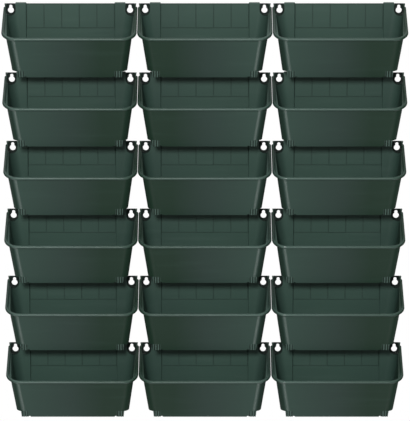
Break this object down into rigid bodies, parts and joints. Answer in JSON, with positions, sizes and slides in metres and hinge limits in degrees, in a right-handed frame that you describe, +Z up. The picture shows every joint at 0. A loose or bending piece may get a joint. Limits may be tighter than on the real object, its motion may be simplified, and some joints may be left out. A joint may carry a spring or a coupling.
{
  "type": "hanging pocket planter",
  "caption": "Wall planter set of identical tapered plastic troughs in columns and rows, each with a rolled rim, a foot ring and keyhole ears that lift off wall screws.",
  "frame": {"origin": "midway between the two keyholes of the middle pocket in the top row, on the wall plane", "axes": "+X to the right along a row, +Y into the wall, +Z up"},
  "size_m": [1.142, 0.168, 1.193],
  "materials": {
    "pocket_plastic": "dark green moulded plastic with a satin grain"
  },
  "bodies": {
    "row1_left": {"pocket_row1_left": "pocket_plastic"},
    "row1_centre": {"pocket_row1_centre": "pocket_plastic"},
    "row1_right": {"pocket_row1_right": "pocket_plastic"},
    "row2_left": {"pocket_row2_left": "pocket_plastic"},
    "row2_centre": {"pocket_row2_centre": "pocket_plastic"},
    "row2_right": {"pocket_row2_right": "pocket_plastic"},
    "row3_left": {"pocket_row3_left": "pocket_plastic"},
    "row3_centre": {"pocket_row3_centre": "pocket_plastic"},
    "row3_right": {"pocket_row3_right": "pocket_plastic"},
    "row4_left": {"pocket_row4_left": "pocket_plastic"},
    "row4_centre": {"pocket_row4_centre": "pocket_plastic"},
    "row4_right": {"pocket_row4_right": "pocket_plastic"},
    "row5_left": {"pocket_row5_left": "pocket_plastic"},
    "row5_centre": {"pocket_row5_centre": "pocket_plastic"},
    "row5_right": {"pocket_row5_right": "pocket_plastic"},
    "row6_left": {"pocket_row6_left": "pocket_plastic"},
    "row6_centre": {"pocket_row6_centre": "pocket_plastic"},
    "row6_right": {"pocket_row6_right": "pocket_plastic"}
  },
  "joints": [
    {"name": "row1_left_lift", "type": "slide", "parent": "row1_centre", "child": "row1_left", "axis": [0, 0, 1], "range_m": [0, 0.011]},
    {"name": "row1_right_lift", "type": "slide", "parent": "row1_centre", "child": "row1_right", "axis": [0, 0, 1], "range_m": [0, 0.011]},
    {"name": "row2_left_lift", "type": "slide", "parent": "row1_centre", "child": "row2_left", "axis": [0, 0, 1], "range_m": [0, 0.011]},
    {"name": "row2_centre_lift", "type": "slide", "parent": "row1_centre", "child": "row2_centre", "axis": [0, 0, 1], "range_m": [0, 0.011]},
    {"name": "row2_right_lift", "type": "slide", "parent": "row1_centre", "child": "row2_right", "axis": [0, 0, 1], "range_m": [0, 0.011]},
    {"name": "row3_left_lift", "type": "slide", "parent": "row1_centre", "child": "row3_left", "axis": [0, 0, 1], "range_m": [0, 0.011]},
    {"name": "row3_centre_lift", "type": "slide", "parent": "row1_centre", "child": "row3_centre", "axis": [0, 0, 1], "range_m": [0, 0.011]},
    {"name": "row3_right_lift", "type": "slide", "parent": "row1_centre", "child": "row3_right", "axis": [0, 0, 1], "range_m": [0, 0.011]},
    {"name": "row4_left_lift", "type": "slide", "parent": "row1_centre", "child": "row4_left", "axis": [0, 0, 1], "range_m": [0, 0.011]},
    {"name": "row4_centre_lift", "type": "slide", "parent": "row1_centre", "child": "row4_centre", "axis": [0, 0, 1], "range_m": [0, 0.011]},
    {"name": "row4_right_lift", "type": "slide", "parent": "row1_centre", "child": "row4_right", "axis": [0, 0, 1], "range_m": [0, 0.011]},
    {"name": "row5_left_lift", "type": "slide", "parent": "row1_centre", "child": "row5_left", "axis": [0, 0, 1], "range_m": [0, 0.011]},
    {"name": "row5_centre_lift", "type": "slide", "parent": "row1_centre", "child": "row5_centre", "axis": [0, 0, 1], "range_m": [0, 0.011]},
    {"name": "row5_right_lift", "type": "slide", "parent": "row1_centre", "child": "row5_right", "axis": [0, 0, 1], "range_m": [0, 0.011]},
    {"name": "row6_left_lift", "type": "slide", "parent": "row1_centre", "child": "row6_left", "axis": [0, 0, 1], "range_m": [0, 0.011]},
    {"name": "row6_centre_lift", "type": "slide", "parent": "row1_centre", "child": "row6_centre", "axis": [0, 0, 1], "range_m": [0, 0.011]},
    {"name": "row6_right_lift", "type": "slide", "parent": "row1_centre", "child": "row6_right", "axis": [0, 0, 1], "range_m": [0, 0.011]}
  ]
}
